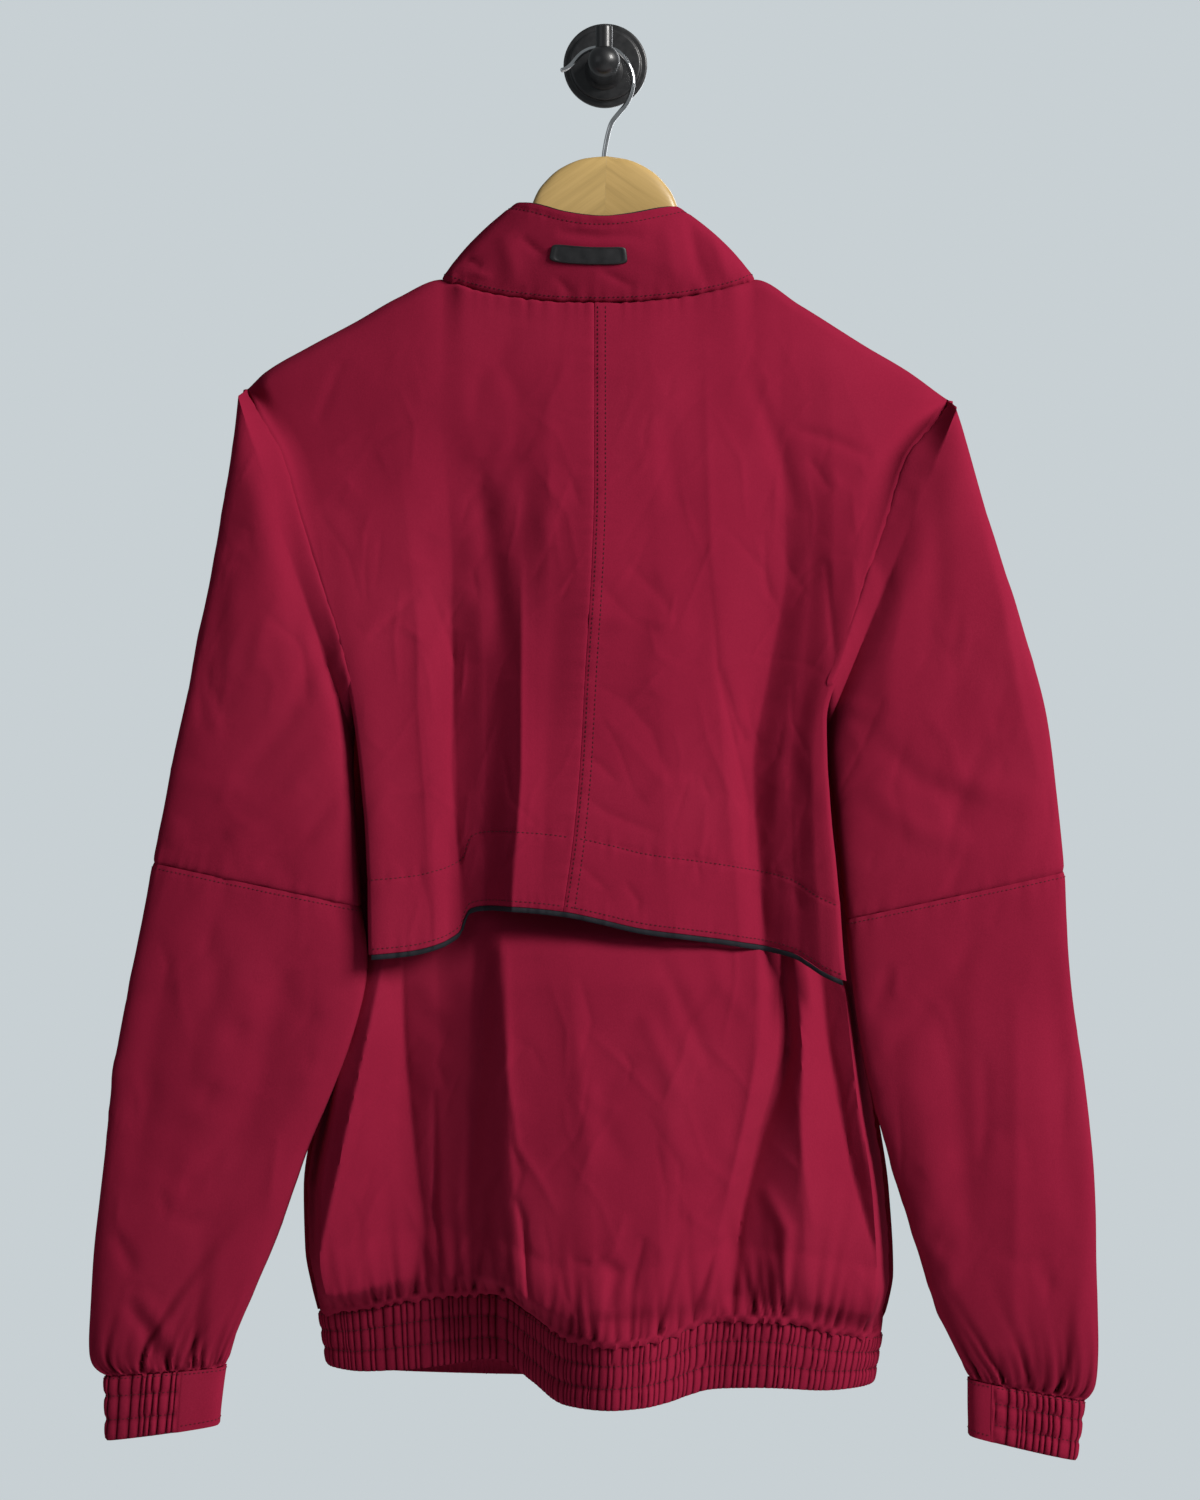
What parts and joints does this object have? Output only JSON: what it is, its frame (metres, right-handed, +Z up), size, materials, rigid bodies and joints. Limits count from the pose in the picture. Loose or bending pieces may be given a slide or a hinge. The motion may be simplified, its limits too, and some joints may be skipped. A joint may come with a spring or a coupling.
{
  "type": "windbreaker on a hanger and wall hook",
  "caption": "Zip-front windbreaker with a loose back cape, stand collar and shirred cuffs and waistband, hung on a wooden hanger from a wall hook.",
  "frame": {"origin": "middle of the wall plate's back face, which lies on the wall", "axes": "+X to the viewer's right as the back is looked at, +Y into the wall, +Z up"},
  "size_m": [0.646, 0.114, 0.9315],
  "materials": {
    "cloth": "brushed microfibre",
    "black_tape": "woven tape",
    "label_rubber": "matt",
    "zip_metal": "nickel",
    "wood": "clear lacquer",
    "chrome_wire": "polished",
    "black_metal": "satin black"
  },
  "bodies": {
    "windbreaker": {"cape_left": "cloth", "cape_right": "cloth", "cape_binding": "black_tape", "back_lower": "cloth", "front_left": "cloth", "front_right": "cloth", "waistband": "cloth", "collar_shell": "cloth", "collar_facing": "black_tape", "collar_label": "label_rubber", "sleeve_upper_left": "cloth", "sleeve_lower_left": "cloth", "sleeve_upper_right": "cloth", "sleeve_lower_right": "cloth", "cuff_shirred_left": "cloth", "cuff_plain_left": "cloth", "cuff_shirred_right": "cloth", "cuff_plain_right": "cloth", "zip_tape_left": "black_tape", "zip_tape_right": "black_tape", "zip_chain": "zip_metal", "zip_slider": "zip_metal", "hanger_left": "wood", "hanger_right": "wood", "hanger_hook": "chrome_wire", "wall_plate": "black_metal", "hook_arm": "black_metal"},
    "pull_tab": {"zip_pull": "zip_metal"}
  },
  "joints": [
    {"name": "zip_pull_hinge", "type": "hinge", "parent": "windbreaker", "child": "pull_tab", "pos_m": [-0.005, -0.011, -0.1309], "axis": [1, 0, 0], "range_deg": [0, 165]}
  ]
}
